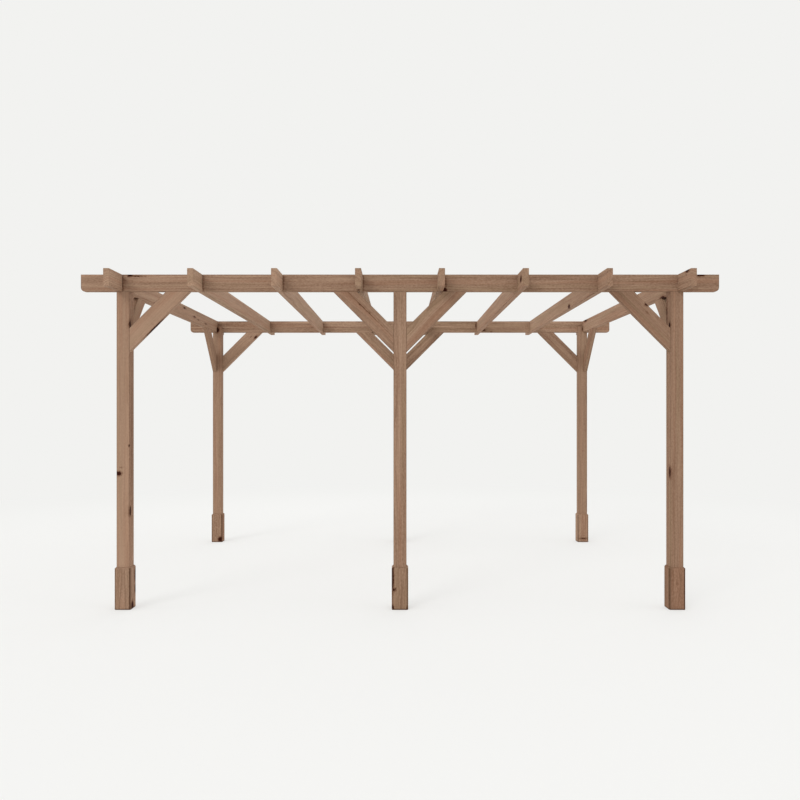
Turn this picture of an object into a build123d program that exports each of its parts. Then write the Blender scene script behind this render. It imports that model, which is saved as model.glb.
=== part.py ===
from build123d import *
import os

# Open timber pergola, in millimetres.
# X runs along the two beams, Y from front to back, Z up from the ground.
# The origin is on the ground at the centre of the frame.

# Frame
frame_width = 4264  # over the outer faces of the corner posts
frame_depth = 3170  # front face of the front posts to back face of the back posts
head_height = 2392  # ground to the underside of the beams and rafters
beam_overhang = 268  # beam beyond the outer face of a corner post
rafter_overhang = 270  # rafter beyond the outer face of a beam
rafter_count = 8

# Timber
post_size = 98  # square posts
board_thick = 44  # beams, rafters and braces
board_deep = 128
arris = 3  # radius of the eased long edges

# Joints
lap_depth = 64  # notch in the top of a beam, filled by the rafter above it
tongue_height = 64  # post top that rises beside the beam
joint_clearance = 0.5  # at each side of a lap and of a tongue
beam_end_radius = 30  # lower corner of a beam end
brace_reach = 454  # from the post face, and the same down the post

# Feet: four boards boxed round the bottom of a post
foot_height = 320
foot_board = 13  # board thickness
foot_bevel = 12  # 45 degree slope round the top
foot_corner = 12  # 45 degree flat down each corner
mitre_gap = 0.5  # open joint between two boards

# Places that follow from those sizes
beam_length = frame_width + 2 * beam_overhang
rafter_length = frame_depth + 2 * rafter_overhang
post_x = (frame_width - post_size) / 2
post_y = (frame_depth - post_size) / 2
beam_y = (frame_depth - board_thick) / 2
end_rafter_x = (frame_width - board_thick) / 2
rafter_pitch = 2 * end_rafter_x / (rafter_count - 1)
rafter_places = [i * rafter_pitch - end_rafter_x for i in range(rafter_count)]
slot_width = board_thick + 2 * joint_clearance

sides = {"left": -1, "centre": 0, "right": 1}
ends = {"front": -1, "back": 1}
up = Vector(0, 0, 1)


def save(piece, name):
    piece.part.label = name
    export_step(piece.part, f"parts/{name}.step")


def make_post(x, y):
    """A square post; its top is cut away for the beam and for any rafter that crosses it."""
    with BuildPart() as post:
        with BuildSketch(Plane(origin=(x, y, 0))):
            RectangleRounded(post_size, post_size, arris)
        extrude(amount=head_height)
        tongue_foot = Plane.XY.offset(head_height)
        with BuildSketch(tongue_foot):
            with Locations((x, y)):
                RectangleRounded(post_size, post_size, arris)
            with Locations((x, beam_y if y > 0 else -beam_y)):
                Rectangle(post_size, slot_width, mode=Mode.SUBTRACT)
            with Locations(*[(place, y) for place in rafter_places]):
                Rectangle(slot_width, post_size, mode=Mode.SUBTRACT)
        extrude(amount=tongue_height)
    return post


def make_beam(y):
    """A beam on edge, with a notch in its top at each rafter."""
    with BuildPart() as beam:
        elevation = Plane(origin=(0, y, head_height), x_dir=(1, 0, 0), z_dir=(0, -1, 0))
        with BuildSketch(elevation) as outline:
            Rectangle(beam_length, board_deep, align=(Align.CENTER, Align.MIN))
            fillet(outline.vertices().group_by(Axis.Y)[0], beam_end_radius)
        extrude(amount=board_thick / 2, both=True)
        fillet(beam.faces().filter_by(Axis.Y).edges(), arris)
        with Locations(*[(place, y, head_height + board_deep) for place in rafter_places]):
            Box(
                slot_width,
                board_thick,
                2 * lap_depth,
                mode=Mode.SUBTRACT,
            )
    return beam


def make_rafter(x):
    """A rafter on edge, square at its ends, with a notch in its underside at each beam."""
    notch_height = board_deep - lap_depth
    with BuildPart() as rafter:
        with BuildSketch(Plane(origin=(x, 0, head_height))):
            Rectangle(board_thick, rafter_length)
        extrude(amount=board_deep)
        fillet(rafter.edges().filter_by(Axis.Y), arris)
        with Locations((x, -beam_y, head_height), (x, beam_y, head_height)):
            Box(
                board_thick,
                slot_width,
                2 * notch_height,
                mode=Mode.SUBTRACT,
            )
    return rafter


def make_brace(corner, out):
    """A 45 degree brace; corner is where post face and underside meet, out leads from the post."""
    end_cut = board_deep * 2**0.5
    with BuildPart() as brace:
        with BuildSketch(Plane(origin=corner, x_dir=out, z_dir=out.cross(up))):
            with BuildLine():
                Polyline(
                    (0, -brace_reach),
                    (brace_reach, 0),
                    (brace_reach - end_cut, 0),
                    (0, end_cut - brace_reach),
                    close=True,
                )
            make_face()
        extrude(amount=board_thick / 2, both=True)
        fillet(brace.edges().filter_by(Axis(corner, out + up)), arris)
    return brace


def make_foot(x, y):
    """Four mitred boards on the faces of a post, bevelled at the top and down the corners."""
    outer = post_size + 2 * foot_board
    with BuildPart() as foot:
        with BuildSketch(Plane(origin=(x, y, 0))) as outline:
            Rectangle(outer, outer)
            chamfer(outline.vertices(), foot_corner)
        extrude(amount=foot_height)
        chamfer(foot.faces().sort_by(Axis.Z)[-1].edges(), foot_bevel)
        with Locations((x, y, foot_height / 2)):
            Box(post_size, post_size, foot_height, mode=Mode.SUBTRACT)
            for turn in (45, 135):
                Box(
                    2 * outer,
                    mitre_gap,
                    foot_height,
                    rotation=(0, 0, turn),
                    mode=Mode.SUBTRACT,
                )
    return foot


os.makedirs("parts", exist_ok=True)

for end, toward_back in ends.items():
    save(make_beam(toward_back * beam_y), f"{end}_beam")
    for side, toward_right in sides.items():
        x = toward_right * post_x
        y = toward_back * post_y
        save(make_post(x, y), f"{end}_{side}_post")
        save(make_foot(x, y), f"{end}_{side}_post_foot")

        # Braces under the beam lean away from each post, towards the middle of a bay.
        for lean, out in (("left", -1), ("right", 1)):
            if out == toward_right:
                continue
            corner = Vector(x + out * post_size / 2, toward_back * beam_y, head_height)
            lean_name = f"{lean}_" if side == "centre" else ""
            save(make_brace(corner, Vector(out, 0, 0)), f"{end}_{side}_{lean_name}beam_brace")

        # One brace under each end rafter leans inwards from its corner post.
        if side != "centre":
            inner_face = y - toward_back * post_size / 2
            corner = Vector(toward_right * end_rafter_x, inner_face, head_height)
            save(make_brace(corner, Vector(0, -toward_back, 0)), f"{end}_{side}_rafter_brace")

for number, place in enumerate(rafter_places, start=1):
    save(make_rafter(place), f"rafter_{number}")
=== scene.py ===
import bpy
import numpy as np
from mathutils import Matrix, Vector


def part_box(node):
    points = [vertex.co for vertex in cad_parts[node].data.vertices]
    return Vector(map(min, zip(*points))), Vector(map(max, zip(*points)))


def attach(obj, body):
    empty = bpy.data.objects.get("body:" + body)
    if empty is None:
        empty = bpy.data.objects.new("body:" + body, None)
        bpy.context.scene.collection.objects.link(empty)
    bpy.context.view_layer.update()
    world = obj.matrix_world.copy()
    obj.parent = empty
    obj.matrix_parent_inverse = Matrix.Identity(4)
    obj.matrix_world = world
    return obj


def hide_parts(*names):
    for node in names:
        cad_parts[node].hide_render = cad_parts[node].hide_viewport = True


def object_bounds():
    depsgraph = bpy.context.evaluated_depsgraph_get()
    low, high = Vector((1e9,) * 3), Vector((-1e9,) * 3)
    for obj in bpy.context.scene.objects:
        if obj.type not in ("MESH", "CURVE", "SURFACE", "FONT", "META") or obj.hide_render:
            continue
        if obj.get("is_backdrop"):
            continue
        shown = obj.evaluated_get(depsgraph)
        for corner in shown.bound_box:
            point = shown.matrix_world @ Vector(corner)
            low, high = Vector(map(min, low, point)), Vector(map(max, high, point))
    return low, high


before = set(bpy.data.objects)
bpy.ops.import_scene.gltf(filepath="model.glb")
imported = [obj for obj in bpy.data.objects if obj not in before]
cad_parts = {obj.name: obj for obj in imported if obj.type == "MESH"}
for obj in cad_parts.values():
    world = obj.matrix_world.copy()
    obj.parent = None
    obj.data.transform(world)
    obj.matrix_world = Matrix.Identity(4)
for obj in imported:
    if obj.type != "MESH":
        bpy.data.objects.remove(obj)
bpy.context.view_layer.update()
print("frame loaded:", len(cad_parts), "nodes")

# Everything is in metres, X along the beams, Y from front to back, Z up.
alongX, alongY, alongZ = np.eye(3)


def boxOf(node):
    low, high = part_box(node)
    return np.array(low), np.array(high)


def latticeSkin(filled):
    # The skin of the filled cells of a block: where a filled cell has an empty one beside
    # it, the side between them is a face, and its corners run so that it looks outwards.
    counts = np.array(filled.shape) + 1
    number = np.arange(counts.prod()).reshape(counts)
    cells = np.pad(filled, 1)
    faces = []
    for axis in range(3):
        order = (axis, (axis + 1) % 3, (axis + 2) % 3)
        layers = np.moveaxis(cells, order, (0, 1, 2))[:, 1:-1, 1:-1]
        corner = np.moveaxis(number, order, (0, 1, 2))
        ring = [corner[:, :-1, :-1], corner[:, 1:, :-1], corner[:, 1:, 1:], corner[:, :-1, 1:]]
        ring = np.stack(ring, axis=-1)
        faces.append(ring[layers[:-1] & ~layers[1:]])
        faces.append(ring[~layers[:-1] & layers[1:]][:, ::-1])
    used, faces = np.unique(np.concatenate(faces), return_inverse=True)
    return np.stack(np.unravel_index(used, counts), axis=-1), faces.reshape(-1, 4)


def edgeShare(steps, edges, filled, longEdge, cutEdge):
    # How much of the rounding each edge takes: an edge with one filled cell round it is an
    # outside one and takes longEdge where it runs with the timber and cutEdge across it.
    start, end = steps[edges[:, 0]], steps[edges[:, 1]]
    axis = np.abs(end - start).argmax(axis=1)
    turn = np.eye(3, dtype=int)
    base = np.minimum(start, end) + turn[axis]
    cells = np.pad(filled, 1)
    around = np.zeros(len(edges), dtype=int)
    for first in (0, 1):
        for second in (0, 1):
            cell = base + first * turn[(axis + 1) % 3] + second * turn[(axis + 2) % 3]
            around += cells[tuple(cell.T)]
    return (around == 1) * np.where(axis == 0, longEdge, cutEdge) / longEdge


def makeTimber(name, axes, origin, lines, filled, bend, edges):
    # A corner of the block stands at origin + along*a + across*b + through*c, where a, b
    # and c are its three line values after bend has shaped them.
    steps, faces = latticeSkin(filled)
    local = np.stack([line[step] for line, step in zip(lines, steps.T)], axis=-1)
    local = bend(local) if bend else local
    if np.linalg.det(axes) < 0:
        faces = faces[:, ::-1]
    mesh = bpy.data.meshes.new(name)
    mesh.from_pydata(origin + local @ axes, [], faces.tolist())
    pairs = np.zeros(len(mesh.edges) * 2, dtype=int)
    mesh.edges.foreach_get("vertices", pairs)
    share = edgeShare(steps, pairs.reshape(-1, 2), filled, edges["long"], edges["cut"])
    weight = mesh.attributes.new("bevel_weight_edge", "FLOAT", "EDGE")
    weight.data.foreach_set("value", share)
    timber = bpy.data.objects.new(name, mesh)
    bpy.context.scene.collection.objects.link(timber)
    rounding = timber.modifiers.new("eased edges", "BEVEL")
    rounding.limit_method = "WEIGHT"
    rounding.width = edges["long"]
    rounding.segments = edges["steps"]
    rounding.use_clamp_overlap = False
    return timber


timbers = []  # one entry for each timber: its object, node, axes and slot


def addMember(name, nodes, slot, axes, origin, lines, filled, edges, bend=None):
    timber = makeTimber(name, axes, origin, lines, filled, bend, edges)
    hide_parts(*nodes)
    timbers.append({"piece": timber, "node": nodes[0], "axes": axes, "slot": slot})


def linesThrough(*values):
    return np.unique(np.round(np.array(values, dtype=float), 6))


def stations(low, high, pieces):
    # Even cuts along a member, so that its faces can be laid side by side in a map.
    return np.linspace(low, high, pieces + 1)


def spans(line, low, high):
    # Which gaps of a line of values lie between low and high.
    middle = (line[:-1] + line[1:]) / 2
    return (middle > low) & (middle < high)


# Planed timber has its long edges eased with a plane; where it is cut they are only dulled.
planedEdges = {"long": 0.003, "cut": 0.0008, "steps": 3}

# The beams: one board on edge at each end of the frame, notched for the rafters.
beam = {
    "lapDepth": 0.064,
    "clearance": 0.0005,
    "endRadius": 0.030,
    "roundSteps": 10,
    "mapPieces": 4,
    "edges": planedEdges,
}
rafterNodes = [name for name in sorted(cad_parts) if name.startswith("rafter_")]
beamNodes = ["front_beam", "back_beam"]


def roundedEnds(length, height):
    # Within a radius of either end the underside rises as a quarter circle: at a distance
    # d from the end it stands radius - sqrt(radius^2 - (radius - d)^2) high.
    def shape(local):
        inside = np.clip(beam["endRadius"] - (length / 2 - np.abs(local[:, 0])), 0, beam["endRadius"])
        rise = beam["endRadius"] - np.sqrt(beam["endRadius"] ** 2 - inside ** 2)
        local[:, 1] = rise + local[:, 1] * (height - rise) / height
        return local
    return shape


for node in beamNodes:
    low, high = boxOf(node)
    length, height = high[0] - low[0], high[2] - low[2]
    angles = np.linspace(0, np.pi / 2, beam["roundSteps"] + 1)
    ends = length / 2 - beam["endRadius"] + beam["endRadius"] * np.sin(angles)
    lapSides = [boxOf(rafter)[i][0] + side * beam["clearance"]
                for rafter in rafterNodes for i, side in ((0, -1), (1, 1))]
    along = linesThrough(*-ends, *ends, *lapSides, *stations(low[0], high[0], beam["mapPieces"]))
    across = linesThrough(0, height - beam["lapDepth"], height)
    through = linesThrough(low[1], high[1])
    filled = np.ones((len(along) - 1, len(across) - 1, 1), dtype=bool)
    for left, right in zip(lapSides[::2], lapSides[1::2]):
        filled[spans(along, left, right), -1] = False
    axes = np.array([alongX, alongZ, alongY])
    addMember(f"{node}_board", [node], "beam_timber", axes, low[2] * alongZ,
              [along, across, through], filled, beam["edges"], roundedEnds(length, height))
print("beams made")

# The rafters: boards on edge, notched from below over each beam.
rafter = {"lapDepth": 0.064, "clearance": 0.0005, "mapPieces": 3, "edges": planedEdges}
for node in rafterNodes:
    low, high = boxOf(node)
    height = high[2] - low[2]
    lapSides = [boxOf(beamNode)[i][1] + side * rafter["clearance"]
                for beamNode in beamNodes for i, side in ((0, -1), (1, 1))]
    along = linesThrough(*lapSides, *stations(low[1], high[1], rafter["mapPieces"]))
    across = linesThrough(0, rafter["lapDepth"], height)
    through = linesThrough(low[0], high[0])
    filled = np.ones((len(along) - 1, len(across) - 1, 1), dtype=bool)
    for near, far in zip(lapSides[::2], lapSides[1::2]):
        filled[spans(along, near, far), 0] = False
    axes = np.array([alongY, alongZ, alongX])
    addMember(f"{node}_board", [node], "rafter_timber", axes, low[2] * alongZ,
              [along, across, through], filled, rafter["edges"])
print("rafters made")

# The posts: square, with a tongue that rises beside the beam.
post = {"clearance": 0.0005, "mapPieces": 3, "edges": planedEdges}
postNodes = [name for name in sorted(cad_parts) if name.endswith("_post")]
for node in postNodes:
    low, high = boxOf(node)
    head = boxOf("front_beam")[0][2]
    slots = []
    for crossing in beamNodes + rafterNodes:
        crossLow, crossHigh = boxOf(crossing)
        for axis, runs in ((0, crossing in rafterNodes), (1, crossing in beamNodes)):
            slot = (crossLow[axis] - post["clearance"], crossHigh[axis] + post["clearance"])
            if runs and slot[0] < high[axis] and slot[1] > low[axis]:
                slots.append((axis, *slot))
    grid = [linesThrough(low[axis], high[axis],
                         *[edge for which, *pair in slots if which == axis for edge in pair
                           if low[axis] < edge < high[axis]]) for axis in (0, 1)]
    along = linesThrough(*stations(low[2], head, post["mapPieces"]), high[2])
    filled = np.ones((len(along) - 1, len(grid[0]) - 1, len(grid[1]) - 1), dtype=bool)
    for axis, near, far in slots:
        cut = spans(grid[axis], near, far)
        if axis == 0:
            filled[-1, cut, :] = False
        else:
            filled[-1, :, cut] = False
    axes = np.array([alongZ, alongX, alongY])
    addMember(f"{node}_timber", [node], "post_timber", axes, np.zeros(3),
              [along, *grid], filled, post["edges"])
print("posts made")

# The braces: short boards at 45 degrees, cut to the post and to the timber above.
brace = {"depth": 0.128, "edges": planedEdges}


def slantedEnds(reach):
    # A point that is b in from the brace's outer edge keeps its place across, and both of
    # its ends draw in by b: the cuts stand square to the post and the timber above it.
    def shape(local):
        middle = reach / 2 ** 0.5
        local[:, 0] = middle + (local[:, 0] - middle) * (middle - local[:, 1]) / middle
        return local
    return shape


for node in [name for name in sorted(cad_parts) if name.endswith("_brace")]:
    low, high = boxOf(node)
    underRafter = node.endswith("rafter_brace")
    run, side = (1, 0) if underRafter else (0, 1)
    middle = (low + high) / 2
    postNode = "_".join(node.split("_")[:2]) + "_post"
    postMiddle = sum(boxOf(postNode)) / 2
    out = np.sign(middle[run] - postMiddle[run]) * np.eye(3)[run]
    reach = high[2] - low[2]
    foot = np.array(middle)
    foot[run] = low[run] if out[run] > 0 else high[run]
    foot[2] = low[2]
    foot[side] = low[side]
    axes = np.array([(out + alongZ) / 2 ** 0.5, (alongZ - out) / 2 ** 0.5, np.eye(3)[side]])
    lines = [np.array([0, reach * 2 ** 0.5]), np.array([0, brace["depth"]]),
             np.array([0, high[side] - low[side]])]
    addMember(f"{node}_board", [node], "brace_timber", axes, foot, lines,
              np.ones((1, 1, 1), dtype=bool), brace["edges"], slantedEnds(reach))
print("braces made")

# The feet: four mitred boards boxed round the bottom of each post.
foot = {
    "board": 0.013,
    "bevel": 0.012,
    "cornerFlat": 0.012,
    "openMitre": 0.0005,
    "groundBevel": 0.003,
    "edges": {"long": 0.0004, "cut": 0.0003, "steps": 1},
}
footNodes = [name for name in sorted(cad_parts) if name.endswith("_foot")]


def boxedBoard(inner, height):
    # At a depth w into the board, from the post outwards, half its width is inner + w less
    # half the open mitre, and past the flat down the corner outer - w instead. Its top
    # falls one for one over the bevel, and its foot rises one for one over the small one.
    outer = inner + 2 * foot["board"] - foot["cornerFlat"]
    gap = foot["openMitre"] / 2 ** 0.5

    def shape(local):
        depth = local[:, 2]
        local[:, 1] *= np.minimum(inner + depth - gap, outer - depth)
        slope = np.clip(depth - foot["board"] + foot["bevel"], 0, None)
        lift = np.clip(depth - foot["board"] + foot["groundBevel"], 0, None)
        local[:, 0] = np.where(local[:, 0] > 0, height - slope, lift)
        return local
    return shape


for node in footNodes:
    low, high = boxOf(node)
    inner = (high[0] - low[0]) / 2 - foot["board"]
    height = high[2] - low[2]
    mitre = (2 * foot["board"] - foot["cornerFlat"] + foot["openMitre"] / 2 ** 0.5) / 2
    lines = [np.array([0, 1]), np.array([-1, 1]),
             np.array([0, foot["board"] - foot["bevel"], mitre,
                       foot["board"] - foot["groundBevel"], foot["board"]])]
    for face, out in (("front", -alongY), ("back", alongY), ("left", -alongX), ("right", alongX)):
        middle = (low + high) / 2
        origin = np.array([middle[0], middle[1], low[2]]) + inner * out
        axes = np.array([alongZ, np.cross(out, alongZ), out])
        addMember(f"{node}_{face}_board", [node], "foot_boards", axes, origin, lines,
                  np.ones((1, 1, 4), dtype=bool), foot["edges"], boxedBoard(inner, height))
print("feet made")

# Each timber was sawn from a log of its own. across and through say how far the log's
# centre lies from the timber's own, to either side, edge how dark the stain is on its
# arrises, and figure how strongly its grain shows.
sawing = {
    "beam_timber": {"across": (0.06, 0.12), "through": (0.03, 0.06), "edge": 0.2, "figure": 1.0},
    "rafter_timber": {"across": (0.05, 0.12), "through": (0.03, 0.07), "edge": 0.2, "figure": 1.0},
    "post_timber": {"across": (0.03, 0.08), "through": (0.03, 0.08), "edge": 0.3, "figure": 0.85},
    "brace_timber": {"across": (0.04, 0.10), "through": (0.03, 0.07), "edge": 0.25, "figure": 0.8},
    "foot_boards": {"across": (0.0, 0.03), "through": (0.03, 0.07), "edge": 0.5, "figure": 0.9},
}

# How far each timber stands from the dark stain, 0, to the pale, 1, or how far its two ends
# do. The rest are the usual one, give or take the spread.
paleness = {
    "front_beam": (0.635, 0.42),
    "back_beam": (0.54, 0.66),
    "rafter_1": (0.74, 0.46),
    "rafter_2": (0.79, 0.57),
    "rafter_3": (0.71, 0.66),
    "rafter_4": (0.59, 0.31),
    "rafter_5": (0.55, 0.28),
    "rafter_6": (0.57, 0.70),
    "rafter_7": (0.46, 0.76),
    "rafter_8": (0.51, 0.70),
    "front_left_post": (0.68, 0.58),
    "front_centre_post": (0.46, 0.50),
    "front_right_post": (0.39, 0.41),
    "back_left_post": 0.56,
    "back_right_post": 0.58,
    "front_left_beam_brace": 0.67,
    "front_centre_left_beam_brace": 0.47,
    "front_centre_right_beam_brace": 0.47,
    "front_right_beam_brace": 0.32,
    "back_left_beam_brace": 0.90,
    "back_centre_left_beam_brace": 0.64,
    "back_centre_right_beam_brace": 0.54,
    "back_right_beam_brace": 0.66,
    "front_left_post_foot": 0.48,
    "front_centre_post_foot": 0.46,
    "front_right_post_foot": 0.22,
    "back_left_post_foot": 0.44,
    "back_right_post_foot": 0.68,
}
usualPaleness = 0.5
palenessSpread = 0.06

# How strongly the figure shows in the timbers that have less of it or more.
figures = {
    "front_left_post": 0.5,
    "front_right_post": 0.7,
    "front_left_beam_brace": 0.5,
    "front_centre_right_beam_brace": 0.75,
    "front_right_beam_brace": 0.6,
    "back_beam": 1.6,
    "back_left_post_foot": 1.3,
    "back_right_post_foot": 1.3,
    "back_left_beam_brace": 1.4,
    "back_centre_left_beam_brace": 1.5,
    "back_centre_right_beam_brace": 1.3,
    "back_right_beam_brace": 1.5,
}

# Knots, checks and resin streaks, and painted shade in creases, in corners and on shaded
# faces: where each lies from the middle of its timber, then its three half sizes, all along,
# across and through the timber, then how mild it is: up to 0 it is black, at 1 a brown
# shadow, and at 2 it only turns the grain aside.
knotsAndPaintedShade = {
    "front_beam_board": [
        ((-2.03, 0.061, -0.022), (0.014, 0.010, 0.01), -0.4),
        ((-1.98, 0.052, -0.022), (0.060, 0.008, 0.01), 0.6),
        # painted shade: a broad brown shadow right of rafter 1, then a dark crease down the beam's face
        # beside the right side of each of rafters 1 to 5, where the rafters' shadows fall
        ((-2.07, 0.010, -0.022), (0.030, 0.060, 0.01), 1.3),
        ((-2.086, 0.000, -0.022), (0.012, 0.120, 0.01), 0.8),
        ((-1.483, 0.000, -0.022), (0.017, 0.120, 0.01), 1.0),
        ((-0.880, 0.000, -0.022), (0.015, 0.120, 0.01), 1.0),
        ((-0.277, 0.000, -0.022), (0.011, 0.120, 0.01), 1.0),
        ((0.340, -0.010, -0.022), (0.018, 0.080, 0.01), 0.9),
        ((2.26, 0.060, -0.022), (0.025, 0.008, 0.01), -0.2),
        ((0.338, -0.052, -0.022), (0.011, 0.012, 0.01), -0.3)],
    "back_beam_board": [
        ((0.96, -0.036, -0.022), (0.018, 0.009, 0.01), 0.2),
        ((0.87, 0.015, -0.022), (0.010, 0.030, 0.01), 0.5)],
    "rafter_1_board": [
        ((0.14, 0.035, 0.022), (0.050, 0.010, 0.01), 0.3),
        ((0.51, -0.006, 0.022), (0.060, 0.010, 0.01), 0.4),
        ((0.66, -0.020, 0.022), (0.050, 0.008, 0.01), 0.7),
        ((0.98, -0.028, 0.022), (0.070, 0.009, 0.01), 0.6),
        ((-0.80, -0.047, 0.022), (0.035, 0.009, 0.01), 0.5),
        ((-1.235, -0.064, 0.000), (0.040, 0.010, 0.03), 0.9)],
    # a long brown mark that darkens rafter 2's whole underside
    "rafter_2_board": [((0.00, -0.064, 0.000), (1.900, 0.010, 0.05), 1.5)],
    "rafter_4_board": [((-1.665, -0.064, -0.004), (0.030, 0.010, 0.012), 0.4)],
    "rafter_6_board": [((-1.76, 0.001, -0.022), (0.028, 0.016, 0.01), -0.3)],
    "rafter_7_board": [((-0.58, -0.045, -0.022), (0.032, 0.014, 0.01), -0.2)],
    "rafter_8_board": [
        ((-1.785, 0.061, -0.022), (0.026, 0.012, 0.01), -0.3),
        ((-1.76, 0.034, -0.022), (0.050, 0.020, 0.01), 1.4),
        ((1.37, 0.052, -0.022), (0.060, 0.011, 0.01), 0.0),
        ((-1.235, -0.064, 0.000), (0.045, 0.012, 0.03), -0.4)],
    "front_left_post_timber": [
        # painted shade: the whole inner side darkened, as the face turned away from the key lamp
        ((0.00, 0.049, 0.000), (1.600, 0.010, 0.09), 1.15),
        ((-0.205, -0.032, -0.049), (0.011, 0.014, 0.01), -0.4),
        ((-0.158, -0.012, -0.049), (0.010, 0.030, 0.01), 1.2),
        ((0.005, 0.047, -0.046), (0.011, 0.008, 0.01), 0.3),
        ((-0.490, 0.049, -0.031), (0.026, 0.008, 0.012), -0.4),
        # painted shade: a dark wedge in the corner above the brace
        ((0.915, 0.049, -0.036), (0.024, 0.008, 0.009), -0.5)],
    "front_right_post_timber": [
        ((-0.195, -0.049, -0.034), (0.030, 0.008, 0.012), -0.4),
        # painted shade: a dark line down the post's side where the rafter brace meets it
        ((1.02, -0.049, 0.035), (0.150, 0.008, 0.022), 0.7),
        # painted shade: a dark wedge in the corner above the brace
        ((0.905, -0.049, -0.030), (0.018, 0.008, 0.010), -0.5)],
    "back_left_post_timber": [((1.187, 0.002, -0.049), (0.017, 0.012, 0.01), -0.6)],
    "back_right_post_timber": [((1.20, -0.004, -0.049), (0.030, 0.007, 0.01), 0.5)],
    "front_left_post_foot_front_board": [((0.0, -0.0515, 0.0065), (0.50, 0.002, 0.004), 0.2)],
    "front_left_post_foot_right_board": [
        ((-0.137, 0.022, 0.0065), (0.026, 0.018, 0.01), -0.3),
        ((0.085, -0.048, 0.0065), (0.040, 0.017, 0.01), -0.3),
        ((-0.015, -0.048, 0.0065), (0.030, 0.017, 0.01), -0.1)],
    "front_centre_post_foot_front_board": [
        ((-0.008, 0.048, 0.0065), (0.012, 0.016, 0.01), 0.2),
        ((-0.002, 0.033, 0.0065), (0.014, 0.006, 0.01), 0.7),
        ((0.085, 0.056, 0.000), (0.075, 0.008, 0.02), -0.3),
        ((-0.145, 0.056, 0.000), (0.014, 0.008, 0.02), -0.3),
        ((-0.145, -0.056, 0.000), (0.012, 0.007, 0.02), 0.0)],
    "front_centre_post_foot_left_board": [
        ((0.085, -0.056, 0.000), (0.075, 0.008, 0.02), -0.3),
        ((-0.145, -0.056, 0.000), (0.014, 0.008, 0.02), -0.3)],
    "front_right_post_foot_front_board": [
        ((0.045, 0.004, 0.0065), (0.050, 0.012, 0.02), 1.2),
        ((0.03, -0.056, 0.000), (0.300, 0.006, 0.02), -0.1)],
    "front_right_post_foot_left_board": [
        ((0.0, -0.0515, 0.0065), (0.50, 0.002, 0.004), 0.0),
        ((0.0, 0.040, 0.0065), (0.30, 0.006, 0.01), 0.8)],
    "back_left_post_foot_front_board": [((-0.126, -0.042, 0.0065), (0.016, 0.018, 0.01), -0.5)],
    "back_right_post_foot_front_board": [((-0.118, 0.000, 0.0065), (0.012, 0.060, 0.01), 0.6)],
    "front_right_beam_brace_board": [
        ((0.06, 0.061, -0.022), (0.012, 0.009, 0.01), -0.1),
        ((0.016, 0.023, -0.022), (0.050, 0.014, 0.01), 1.2)],
    "front_left_beam_brace_board": [((-0.06, -0.064, 0.000), (0.080, 0.0022, 0.02), 0.0)],
    "front_centre_left_beam_brace_board": [
        ((0.08, 0.012, -0.022), (0.300, 0.005, 0.01), 0.75),
        ((0.11, 0.008, -0.022), (0.022, 0.008, 0.01), 0.7),
        ((0.02, 0.018, -0.022), (0.020, 0.007, 0.01), 0.8)],
    "back_left_beam_brace_board": [
        ((0.23, -0.049, -0.022), (0.017, 0.010, 0.01), 0.0),
        ((0.19, -0.010, -0.022), (0.030, 0.010, 0.01), 1.1)],
}
letters = "ABCDEFGHIJ"
noKnot = ((9, 9, 9), (0.001, 0.001, 0.001), 1.0)  # too far off to show


def put(mesh, name, kind, domain, values):
    made = mesh.attributes.new(name, kind, domain)
    made.data.foreach_set("vector" if kind == "FLOAT_VECTOR" else "value", values.ravel())


def take(items, name, width=1):
    values = np.zeros(len(items) * width, dtype=int if width == 1 else float)
    items.foreach_get(name, values)
    return values if width == 1 else values.reshape(-1, width)


# The map that a timber's look is baked to: how far apart faces lie in depth to go on sheets
# of their own, the gap between sheets as a share of the map, and how fast the map grows
# until they all fit.
bakeMap = {"depthStep": 0.01, "gap": 0.006, "growth": 1.02}


def layFlat(mesh, local, normals, middles):
    # Every face is laid flat as seen from the side that it looks to most. Faces of one
    # side, one depth and one station make a sheet, and the sheets stand on shelves, the
    # tallest first, in the smallest square that holds them.
    side = np.abs(normals).argmax(axis=1)
    rows = np.arange(len(side))
    toward = np.sign(normals[rows, side])
    depth = np.round(middles[rows, side] / bakeMap["depthStep"])
    length = np.ptp(local[:, 0])
    pieces = max(1, round((length / np.ptp(local[:, 1:], axis=0).sum() / 2) ** 0.5))
    station = np.floor((middles[:, 0] - local[:, 0].min()) / length * pieces) * (side > 0)
    keys = np.stack([side, toward, depth, station], axis=1)
    sheet = np.unique(keys, axis=0, return_inverse=True)[1].ravel()
    count = sheet.max() + 1
    face = np.repeat(rows, take(mesh.polygons, "loop_total"))
    corner = local[take(mesh.loops, "vertex_index")]
    flat = np.where(side[face, None] == 0, corner[:, [1, 2]],
                    np.where(side[face, None] == 1, corner[:, [0, 2]], corner[:, [0, 1]]))
    low, high = np.full((count, 2), 9.0), np.full((count, 2), -9.0)
    np.minimum.at(low, sheet[face], flat)
    np.maximum.at(high, sheet[face], flat)
    size = high - low
    square, fits = (size.prod(axis=1).sum()) ** 0.5, False
    while not fits:
        square *= bakeMap["growth"]
        gap, x, y, shelf = square * bakeMap["gap"], 0.0, 0.0, 0.0
        place = np.zeros((count, 2))
        for i in np.argsort(-size[:, 1]):
            if x > 0 and x + size[i, 0] + gap > square:
                x, y, shelf = 0.0, y + shelf, 0.0
            place[i] = x + gap / 2, y + gap / 2
            x, shelf = x + size[i, 0] + gap, max(shelf, size[i, 1] + gap)
        fits = y + shelf <= square and (size[:, 0] + gap).max() <= square
    layer = mesh.uv_layers.new(name="OFBake")
    layer.uv.foreach_set("vector", ((flat - low[sheet[face]] + place[sheet[face]]) / square).ravel())


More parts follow.
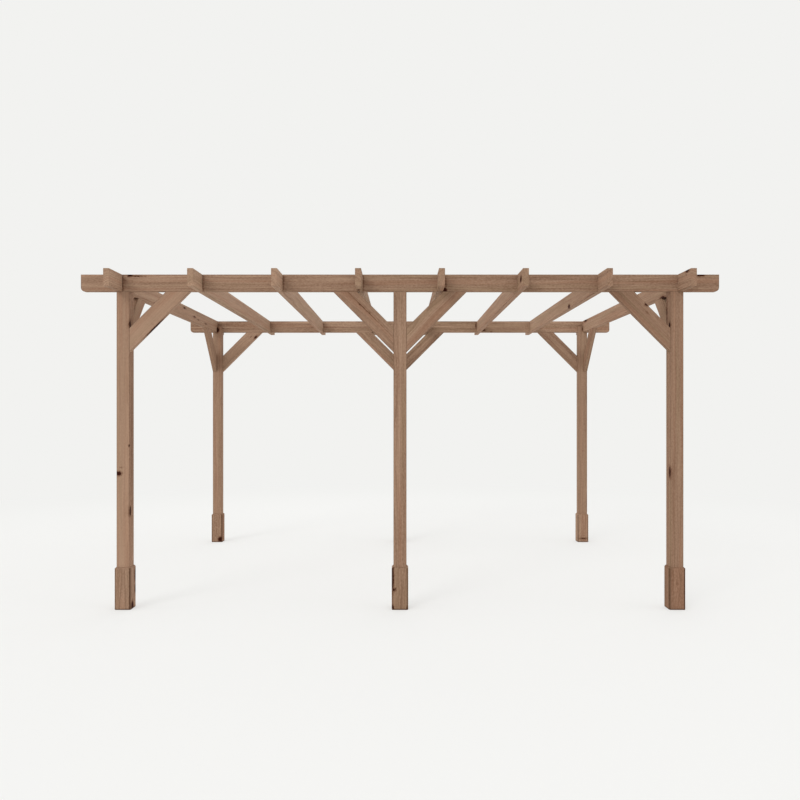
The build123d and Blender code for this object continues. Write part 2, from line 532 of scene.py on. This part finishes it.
logLength = 40  # the timbers come from places along one long log, so that no two are alike
sharpAngle = 10  # in degrees: the eased edges shade smooth and the mitres stay crisp
random = np.random.default_rng(11)
bpy.context.view_layer.update()
evaluated = bpy.context.evaluated_depsgraph_get()
for entry in timbers:
    piece, axes = entry["piece"], entry["axes"]
    mesh = bpy.data.meshes.new_from_object(piece.evaluated_get(evaluated))
    piece.modifiers.clear()
    piece.data = mesh
    mesh.name = piece.name
    mesh.shade_smooth()
    mesh.set_sharp_from_angle(angle=np.radians(sharpAngle))
    turned = take(mesh.vertices, "co", 3) @ axes.T
    centre = (turned.min(axis=0) + turned.max(axis=0)) / 2
    local = turned - centre
    cut = sawing[entry["slot"]]
    sides = random.choice([-1, 1], 2)
    pith = np.array([random.uniform(0, logLength), sides[0] * random.uniform(*cut["across"]),
                     sides[1] * random.uniform(*cut["through"])])
    put(mesh, "body", "FLOAT_VECTOR", "POINT", local)
    put(mesh, "halfSize", "FLOAT_VECTOR", "POINT", np.tile(local.max(axis=0), (len(local), 1)))
    put(mesh, "grain", "FLOAT_VECTOR", "POINT", local + pith)
    # each timber's knots and painted shade marks, filled out with ones too far off to show
    for letter, (spot, size, mild) in zip(letters, knotsAndPaintedShade.get(piece.name, []) + [noKnot] * len(letters)):
        put(mesh, "knot" + letter, "FLOAT_VECTOR", "POINT", np.tile(pith + spot, (len(local), 1)))
        put(mesh, "knotSize" + letter, "FLOAT_VECTOR", "POINT", np.tile(size, (len(local), 1)))
        put(mesh, "knotMild" + letter, "FLOAT", "POINT", np.full(len(local), mild))
    level = usualPaleness + random.uniform(-1, 1) * palenessSpread
    level = np.broadcast_to(paleness.get(entry["node"], level), 2)
    level = np.interp(local[:, 0], [local[:, 0].min(), local[:, 0].max()], level)
    put(mesh, "paleness", "FLOAT", "POINT", level)
    figure = figures.get(entry["node"], cut["figure"])
    put(mesh, "figure", "FLOAT", "POINT", np.full(len(local), figure))
    normals = take(mesh.polygons, "normal", 3) @ axes.T
    middles = take(mesh.polygons, "center", 3) @ axes.T - centre
    slanted = (np.abs(normals[:, 1:]) > 0.2).all(axis=1)  # the faces of a lengthwise arris
    put(mesh, "arris", "FLOAT", "FACE", slanted * cut["edge"])
    put(mesh, "rim", "FLOAT", "POINT", np.full(len(local), cut["edge"]))
    layFlat(mesh, local, normals, middles)
print("grain given to", len(timbers), "timbers")


def linear(code):
    value = np.array([int(code[i:i + 2], 16) for i in (1, 3, 5)]) / 255
    value = np.where(value <= 0.04045, value / 12.92, ((value + 0.055) / 1.055) ** 2.4)
    return (*value, 1)


def add(tree, kind, inputs={}, **settings):
    node = tree.nodes.new("ShaderNode" + kind)
    for name, value in settings.items():
        setattr(node, name, value)
    for socket, value in inputs.items():
        if isinstance(value, bpy.types.NodeSocket):
            tree.links.new(value, node.inputs[socket])
        else:
            node.inputs[socket].default_value = value
    return node


# Planed spruce under a brown semi-matt stain. The stain soaks deeper into the soft early
# wood, so the board reads as soft lengthwise streaks of greyed tan and red brown. Widths and
# sizes are in metres, and what goes to a metre is along, across and through the timber. Real
# fibres are too fine to show, so these are some millimetres wide.
softwood = {
    "dark": "#70523f",
    "pale": "#b4957d",
    "olive": "#8d7b5c",
    "red": "#9a6a50",
    "ringLine": "#553a28",
    # the knot halo and core colours also paint the shade in creases, in corners and on shaded faces
    "knotHalo": "#5f3c28",
    "knotCore": "#34140a",
    "stainedEdge": "#4a3222",
    # the colour that the lowest few millimetres of the timbers darken towards
    "darkerNearGround": "#4b3526",
    "wander": {"perMetre": (1.3, 3, 3), "reach": (0, 0.03, 0.03)},
    "whorl": {"perMetre": (2.3, 8.0, 8.0), "stretch": 0.7, "chance": 0.65, "size": (0.0004, 0.009)},
    "clearEnd": (0.12, 0.08),
    "ringPush": {"from": 5.0, "full": 0.5, "most": 0.006},
    "streakWidth": 0.016,
    "streakDrift": 0.7,
    "hue": {"stretch": (0.4, 0.6, 0), "shift": (17, 5, 0)},
    "ringPitch": 0.0055,
    "ringWobble": 2.5,
    "fibresPerMetre": (3, 120, 120),
    "flecksPerMetre": (60, 130, 130),
    "fineness": 9.0,
    "shares": {"streak": 0.8, "coarse": 0.6, "fleck": 0.7, "fine": 0.3},
    "rimWidth": 0.007,
    "roughness": (0.66, 0.82),
    "sheen": 0.05,
    "relief": 0.0005,
}


def stainedSoftwood(name, look):
    material = bpy.data.materials.new(name)
    material.use_nodes = True
    tree = material.node_tree
    tree.nodes.clear()
    place = add(tree, "Attribute", attribute_name="grain").outputs["Vector"]

    # the log's centre line wanders a few millimetres over each half metre
    slow = add(tree, "VectorMath", {0: place, 1: look["wander"]["perMetre"]},
               operation="MULTIPLY").outputs[0]
    wander = add(tree, "TexNoise", {"Vector": slow, "Scale": 1.0, "Detail": 1.0}).outputs["Color"]
    wander = add(tree, "VectorMath", {0: wander, 1: (0.5, 0.5, 0.5)}, operation="SUBTRACT").outputs[0]
    bent = add(tree, "VectorMath", {0: wander, 1: look["wander"]["reach"], 2: place},
               operation="MULTIPLY_ADD").outputs[0]

    # small random knots, in cells as long as the gaps between whorls of branches
    whorls = look["whorl"]
    cell = whorls["perMetre"]
    scaled = add(tree, "VectorMath", {0: place, 1: cell}, operation="MULTIPLY").outputs[0]
    whorl = add(tree, "TexVoronoi", {"Vector": scaled, "Scale": 1.0})
    offset = add(tree, "VectorMath", {0: whorl.outputs["Position"], 1: scaled},
                 operation="SUBTRACT").outputs[0]
    offset = add(tree, "VectorMath", {0: offset, 1: (whorls["stretch"] / cell[0], 1 / cell[1], 1 / cell[2])},
                 operation="MULTIPLY").outputs[0]
    offset = add(tree, "VectorMath", {0: offset}, operation="LENGTH").outputs["Value"]
    chance = add(tree, "SeparateColor", {0: whorl.outputs["Color"]}).outputs[0]
    size = add(tree, "MapRange", {"Value": chance, "From Min": whorls["chance"], "From Max": 1.0,
                                  "To Min": whorls["size"][0],
                                  "To Max": whorls["size"][1]}).outputs["Result"]
    nearest = add(tree, "Math", {0: offset, 1: size}, operation="DIVIDE").outputs[0]

    # how far a place lies from each pair of its timber's sides; the ends are cut in clear wood
    body = add(tree, "Attribute", attribute_name="body").outputs["Vector"]
    body = add(tree, "VectorMath", {0: body}, operation="ABSOLUTE").outputs[0]
    halfSize = add(tree, "Attribute", attribute_name="halfSize").outputs["Vector"]
    inset = add(tree, "VectorMath", {0: halfSize, 1: body}, operation="SUBTRACT").outputs[0]
    inset = add(tree, "SeparateXYZ", {0: inset}).outputs
    clear = add(tree, "MapRange", {"Value": inset[0], "From Min": look["clearEnd"][0],
                                   "From Max": look["clearEnd"][1],
                                   "To Max": 9.0}).outputs["Result"]
    nearest = add(tree, "Math", {0: nearest, 1: clear}, operation="ADD").outputs[0]

    # the knots and the painted shade marks that stand at chosen places
    for letter in letters:
        spot = add(tree, "Attribute", attribute_name="knot" + letter).outputs["Vector"]
        size = add(tree, "Attribute", attribute_name="knotSize" + letter).outputs["Vector"]
        mild = add(tree, "Attribute", attribute_name="knotMild" + letter).outputs["Fac"]
        away = add(tree, "VectorMath", {0: place, 1: spot}, operation="SUBTRACT").outputs[0]
        away = add(tree, "VectorMath", {0: away, 1: size}, operation="DIVIDE").outputs[0]
        away = add(tree, "VectorMath", {0: away}, operation="LENGTH").outputs["Value"]
        away = add(tree, "Math", {0: away, 1: mild}, operation="ADD").outputs[0]
        nearest = add(tree, "Math", {0: nearest, 1: away}, operation="MINIMUM").outputs[0]

    # flecks where the fibres dip in and out of the face, which make a knot's edge ragged too
    short = add(tree, "VectorMath", {0: bent, 1: look["flecksPerMetre"]}, operation="MULTIPLY").outputs[0]
    fleck = add(tree, "TexNoise", {"Vector": short, "Scale": 1.0, "Detail": 1.0}).outputs["Fac"]
    ragged = add(tree, "MapRange", {"Value": fleck, "To Min": -0.5, "To Max": 0.5}).outputs["Result"]
    nearest = add(tree, "Math", {0: nearest, 1: ragged}, operation="ADD").outputs[0]

    # distance from the pith, pushed out where the rings flow round a knot
    apart = add(tree, "SeparateXYZ", {0: bent})
    flat = add(tree, "CombineXYZ", {1: apart.outputs["Y"], 2: apart.outputs["Z"]}).outputs[0]
    radius = add(tree, "VectorMath", {0: flat}, operation="LENGTH").outputs["Value"]
    push = look["ringPush"]
    push = add(tree, "MapRange", {"Value": nearest, "From Min": push["from"], "From Max": push["full"],
                                  "To Max": push["most"]},
               interpolation_type="SMOOTHSTEP").outputs["Result"]
    radius = add(tree, "Math", {0: radius, 1: push}, operation="ADD").outputs[0]

    # streaks: bands of several rings that took the stain alike, drifting along the log
    drift = add(tree, "CombineXYZ", {
        0: add(tree, "Math", {0: radius, 1: 1 / look["streakWidth"]}, operation="MULTIPLY").outputs[0],
        1: add(tree, "Math", {0: apart.outputs["X"], 1: look["streakDrift"]},
               operation="MULTIPLY").outputs[0]}).outputs[0]
    streak = add(tree, "TexNoise", {"Vector": drift, "Scale": 1.0, "Detail": 3.0, "Roughness": 0.62},
                 noise_dimensions="2D").outputs["Fac"]
    drift = add(tree, "VectorMath", {0: drift, 1: look["hue"]["stretch"], 2: look["hue"]["shift"]},
                operation="MULTIPLY_ADD").outputs[0]
    hue = add(tree, "TexNoise", {"Vector": drift, "Scale": 1.0, "Detail": 2.0},
              noise_dimensions="2D").outputs["Fac"]

    # yearly rings: a thin dark line of late wood at the end of each
    year = add(tree, "Math", {0: radius, 1: 1 / look["ringPitch"]}, operation="MULTIPLY").outputs[0]
    year = add(tree, "Math", {0: streak, 1: look["ringWobble"], 2: year},
               operation="MULTIPLY_ADD").outputs[0]
    year = add(tree, "Math", {0: year}, operation="FRACT").outputs[0]

    # fibres: threads that show from a few metres off, and fine ones close to
    long = add(tree, "VectorMath", {0: bent, 1: look["fibresPerMetre"]}, operation="MULTIPLY").outputs[0]
    parts = {
        "streak": streak,
        "coarse": add(tree, "TexNoise", {"Vector": long, "Scale": 1.0, "Detail": 2.0}).outputs["Fac"],
        "fleck": fleck,
        "fine": add(tree, "TexNoise", {"Vector": long, "Scale": look["fineness"],
                                       "Detail": 2.0}).outputs["Fac"],
    }

    # each adds its share of the way from the dark stain to the pale, about the timber's own
    figure = 0.0
    for part, share in look["shares"].items():
        part = add(tree, "Math", {0: parts[part], 1: 0.5}, operation="SUBTRACT").outputs[0]
        figure = add(tree, "Math", {0: part, 1: share, 2: figure}, operation="MULTIPLY_ADD").outputs[0]
    strength = add(tree, "Attribute", attribute_name="figure").outputs["Fac"]
    level = add(tree, "Attribute", attribute_name="paleness").outputs["Fac"]
    shade = add(tree, "Math", {0: figure, 1: strength, 2: level}, operation="MULTIPLY_ADD").outputs[0]

    # how far a place is from the nearest edge of its timber: the middle one of its three
    # insets, since the least is to the side that it lies on
    lesser = add(tree, "Math", {0: inset[0], 1: inset[1]}, operation="MINIMUM").outputs[0]
    greater = add(tree, "Math", {0: inset[0], 1: inset[1]}, operation="MAXIMUM").outputs[0]
    greater = add(tree, "Math", {0: greater, 1: inset[2]}, operation="MINIMUM").outputs[0]
    fromEdge = add(tree, "Math", {0: lesser, 1: greater}, operation="MAXIMUM").outputs[0]
    above = add(tree, "SeparateXYZ", {0: add(tree, "TexCoord").outputs["Object"]}).outputs["Z"]

    # how strongly each mark shows: its value, where it starts and is full, and its most
    marks = {
        "olive": (hue, 0.50, 0.68, 0.18),
        "red": (hue, 0.46, 0.32, 0.20),
        "lateWood": (year, 0.45, 0.90, 0.35),
        "earlyWood": (year, 0.90, 1.00, 1.0),
        # these two show the painted shade marks as well as the knots
        "haloAndPaintedShade": (nearest, 2.2, 0.9, 0.70),
        "coreAndPaintedShade": (nearest, 1.15, 0.75, 1.0),
        "dent": (nearest, 1.2, 0.8, 1.0),
        "rim": (fromEdge, look["rimWidth"], 0.0, 1.0),
        # darker towards the ground, over the lowest 15 mm
        "darkerNearGround": (above, 0.015, 0.002, 0.7),
    }
    for mark, (value, start, full, most) in marks.items():
        inputs = {"Value": value, "From Min": start, "From Max": full, "To Max": most}
        marks[mark] = add(tree, "MapRange", inputs, interpolation_type="SMOOTHSTEP").outputs["Result"]
    lateWood = add(tree, "Math", {0: marks["lateWood"], 1: marks["earlyWood"]}, operation="SUBTRACT",
                   use_clamp=True).outputs[0]
    lateWood = add(tree, "Math", {0: lateWood, 1: strength}, operation="MULTIPLY").outputs[0]
    share = add(tree, "Attribute", attribute_name="rim").outputs["Fac"]
    rim = add(tree, "Math", {0: marks["rim"], 1: share}, operation="MULTIPLY").outputs[0]
    rim = add(tree, "Math", {0: rim, 1: parts["coarse"]}, operation="MULTIPLY").outputs[0]
    arris = add(tree, "Attribute", attribute_name="arris").outputs["Fac"]
    rim = add(tree, "Math", {0: rim, 1: arris}, operation="MAXIMUM").outputs[0]

    colour = add(tree, "Mix", {0: shade, 6: linear(look["dark"]), 7: linear(look["pale"])},
                 data_type="RGBA").outputs[2]
    layers = [(marks["olive"], "olive"), (marks["red"], "red"), (lateWood, "ringLine"),
              (marks["haloAndPaintedShade"], "knotHalo"), (marks["coreAndPaintedShade"], "knotCore"), (rim, "stainedEdge"),
              (marks["darkerNearGround"], "darkerNearGround")]
    for share, over in layers:
        colour = add(tree, "Mix", {0: share, 6: colour, 7: linear(look[over])}, data_type="RGBA").outputs[2]

    rough = add(tree, "MapRange", {"Value": shade, "To Min": look["roughness"][1],
                                   "To Max": look["roughness"][0]}).outputs["Result"]
    height = add(tree, "Math", {0: parts["fine"], 1: 0.5, 2: lateWood}, operation="MULTIPLY_ADD").outputs[0]
    height = add(tree, "Math", {0: height, 1: marks["dent"]}, operation="SUBTRACT").outputs[0]
    relief = add(tree, "Bump", {"Strength": 0.6, "Distance": look["relief"], "Height": height})
    shader = add(tree, "BsdfPrincipled", {
        "Base Color": colour, "Roughness": rough, "Normal": relief.outputs["Normal"],
        "IOR": 1.5, "Specular IOR Level": look["sheen"]})
    add(tree, "OutputMaterial", {"Surface": shader.outputs[0]})
    return material


finishes = {}
for slot in sawing:
    finishes[slot] = stainedSoftwood("stained spruce " + slot.replace("_", " "), softwood)
for entry in timbers:
    entry["piece"].data.materials.clear()
    entry["piece"].data.materials.append(finishes[entry["slot"]])
    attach(entry["piece"], "root")
print("finishes made:", len(finishes))

# The camera stands level and square to the front, at about eye height.
view = {"place": (0, -7.549, 1.4965), "lens": 35.69, "shift": 0.01324}
camera = bpy.data.objects.new("camera", bpy.data.cameras.new("camera"))
camera.data.lens = view["lens"]
camera.data.shift_y = view["shift"]
camera.location = view["place"]
camera.rotation_euler = (np.pi / 2, 0, 0)
bpy.context.scene.collection.objects.link(camera)
bpy.context.scene.camera = camera
bpy.context.scene.view_settings.view_transform = "Standard"

studio = {
    "backdrop": "#f2f2f0",
    "floor": "#f5f5f3",
    "skyStrength": 0.72,
    "floorRadius": 9.0,
    "floorSides": 96,
    "floorFade": (4.0, 8.5),
    "shadowShare": 0.45,
}
# far soft lamps: the key throws the rafters' shadows on the beam, and one from each other
# side keeps the frame as bright all round
lamps = {
    "key": {"from": (-5.6, -8.2, 5.6), "angle": 24, "strength": 0.85},
    "left": {"from": (-9, -2, 3), "angle": 60, "strength": 0.65},
    "right": {"from": (9.4, -1.5, 3), "angle": 50, "strength": 0.66},
    "rear": {"from": (2, 8, 5), "angle": 60, "strength": 0.5},
}
for name, lamp in lamps.items():
    light = bpy.data.objects.new(name, bpy.data.lights.new(name, "SUN"))
    light.data.angle = np.radians(lamp["angle"])
    light.data.energy = lamp["strength"]
    right, ahead, rise = lamp["from"]
    light.location = lamp["from"]
    light.rotation_euler = (np.arctan2(np.hypot(right, ahead), rise), 0, np.arctan2(right, -ahead))
    bpy.context.scene.collection.objects.link(light)

world = bpy.data.worlds.new("studio")
world.use_nodes = True
sky = world.node_tree
sky.nodes.clear()
rays = add(sky, "LightPath")
seen = add(sky, "Background", {"Color": linear(studio["backdrop"]), "Strength": 1.0})
felt = add(sky, "Background", {"Color": (1, 1, 1, 1), "Strength": studio["skyStrength"]})
shown = add(sky, "MixShader", {0: rays.outputs["Is Camera Ray"], 1: felt.outputs[0], 2: seen.outputs[0]})
add(sky, "OutputWorld", {"Surface": shown.outputs[0]})
bpy.context.scene.world = world

# a round floor that fades into the backdrop, so that no horizon shows
turn = np.linspace(0, 2 * np.pi, studio["floorSides"], endpoint=False)
ring = studio["floorRadius"] * np.stack([np.cos(turn), np.sin(turn), 0 * turn], axis=1)
mesh = bpy.data.meshes.new("floor")
mesh.from_pydata(ring, [], [list(range(studio["floorSides"]))])
floor = bpy.data.objects.new("floor", mesh)
bpy.context.scene.collection.objects.link(floor)
floor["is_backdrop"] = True
paint = bpy.data.materials.new("matt floor paint")
paint.use_nodes = True
tree = paint.node_tree
tree.nodes.clear()
rays = add(tree, "LightPath")
where = add(tree, "TexCoord").outputs["Object"]
away = add(tree, "VectorMath", {0: where}, operation="LENGTH").outputs["Value"]
fade = add(tree, "MapRange", {"Value": away, "From Min": studio["floorFade"][0],
                              "From Max": studio["floorFade"][1]},
           interpolation_type="SMOOTHSTEP").outputs["Result"]
matt = add(tree, "BsdfDiffuse", {"Color": linear(studio["floor"])})
glow = add(tree, "Emission", {"Color": linear(studio["backdrop"]), "Strength": 1.0})
share = add(tree, "MapRange", {"Value": fade, "To Min": 1 - studio["shadowShare"],
                               "To Max": 1.0}).outputs["Result"]
share = add(tree, "Math", {0: share, 1: rays.outputs["Is Camera Ray"]}, operation="MULTIPLY").outputs[0]
surface = add(tree, "MixShader", {0: share, 1: matt.outputs[0], 2: glow.outputs[0]})
add(tree, "OutputMaterial", {"Surface": surface.outputs[0]})
floor.data.materials.append(paint)
print("studio made")

low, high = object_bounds()
